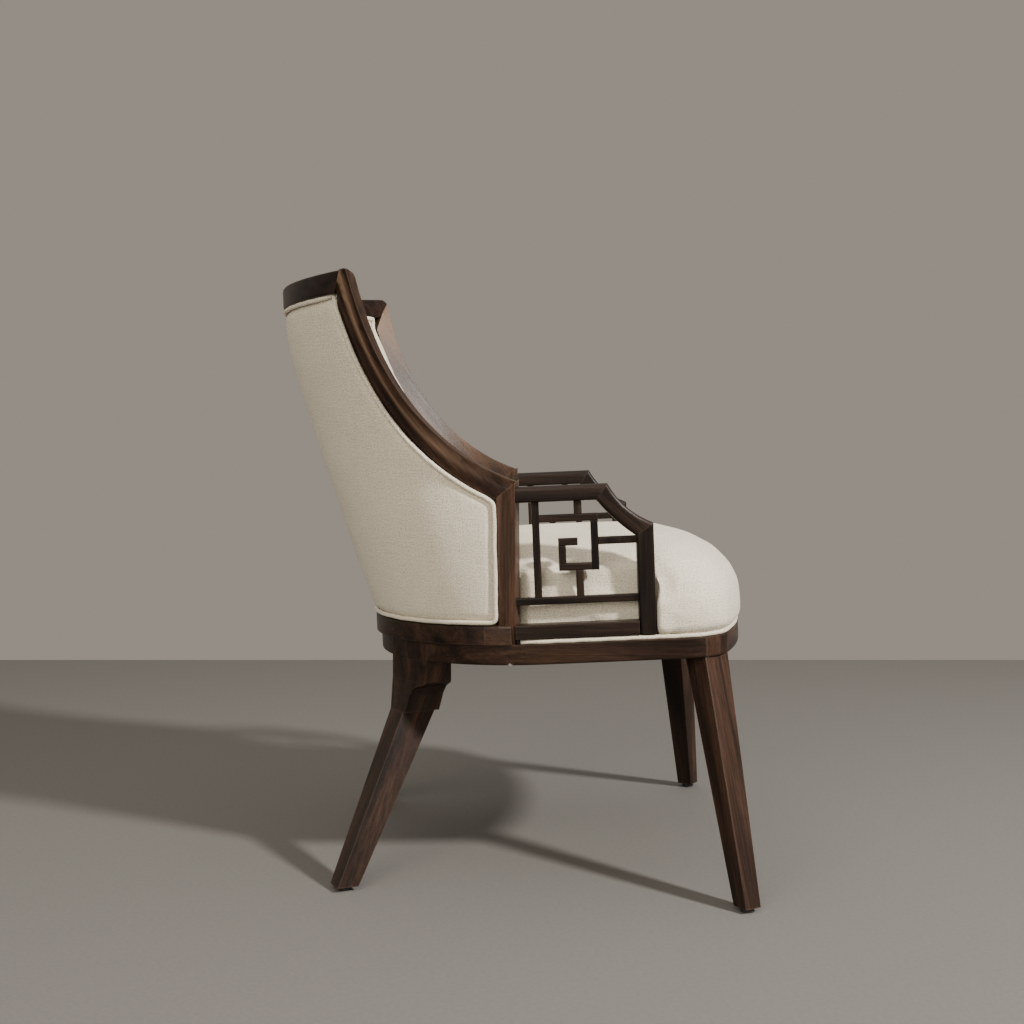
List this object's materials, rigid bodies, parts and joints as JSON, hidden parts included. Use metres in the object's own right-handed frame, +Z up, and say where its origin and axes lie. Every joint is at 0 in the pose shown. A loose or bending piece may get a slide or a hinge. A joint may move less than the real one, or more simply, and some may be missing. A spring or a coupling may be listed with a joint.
{
  "type": "upholstered armchair",
  "caption": "Armchair with a curved barrel back in a moulded wooden frame, key-fret arms, a domed tight seat with piping and splayed tapered legs.",
  "frame": {"origin": "bottom centre of the bounding box, on the floor", "axes": "+Z up, the chair faces -Y, +X towards the sitter's left"},
  "size_m": [0.7438, 0.7435, 0.9182],
  "materials": {
    "show_wood": "dark brown stained wood with open grain under semi-gloss lacquer",
    "cover_fabric": "off-white plain weave cloth, matt",
    "padding": "pale foam under wadding, hidden",
    "webbing": "woven elastic straps, hidden",
    "lining": "thin black non-woven cloth",
    "frame_wood": "raw planed hardwood, hidden",
    "zinc_steel": "zinc plated bolts",
    "glide_rubber": "black matt glides"
  },
  "bodies": {
    "root": {"crest_rail": "show_wood", "back_bottom_rail": "show_wood", "seat_rail_front": "show_wood", "seat_rail_rear": "show_wood", "back_stile_left": "show_wood", "back_stile_right": "show_wood", "back_post_left": "show_wood", "back_post_right": "show_wood", "back_rail_return_left": "show_wood", "back_rail_return_right": "show_wood", "armrest_left": "show_wood", "armrest_right": "show_wood", "arm_swoop_left": "show_wood", "arm_swoop_right": "show_wood", "arm_post_left": "show_wood", "arm_post_right": "show_wood", "fret_lower_rail_left": "show_wood", "fret_lower_rail_right": "show_wood", "fret_long_stile_left": "show_wood", "fret_long_stile_right": "show_wood", "fret_top_bar_left": "show_wood", "fret_top_bar_right": "show_wood", "fret_front_stile_left": "show_wood", "fret_front_stile_right": "show_wood", "fret_bottom_bar_left": "show_wood", "fret_bottom_bar_right": "show_wood", "fret_inner_stile_left": "show_wood", "fret_inner_stile_right": "show_wood", "fret_stub_left": "show_wood", "fret_stub_right": "show_wood", "fret_struts_left": "show_wood", "fret_struts_right": "show_wood", "seat_rail_left": "show_wood", "seat_rail_right": "show_wood", "arm_bottom_rail_left": "show_wood", "arm_bottom_rail_right": "show_wood", "leg_front_left": "show_wood", "leg_front_right": "show_wood", "leg_rear_left": "show_wood", "leg_rear_right": "show_wood", "outer_back_cover": "cover_fabric", "outer_back_welt": "cover_fabric", "inner_back_cover": "cover_fabric", "inner_back_welt": "cover_fabric", "seat_cover": "cover_fabric", "seat_welt": "cover_fabric", "outer_back_padding": "padding", "back_foam": "padding", "seat_foam": "padding", "back_webbing": "webbing", "seat_webbing": "webbing", "dust_cover": "lining", "back_struts": "frame_wood", "corner_blocks": "frame_wood", "arm_bolts": "zinc_steel", "leg_bolts": "zinc_steel", "glides": "glide_rubber"}
  },
  "joints": []
}
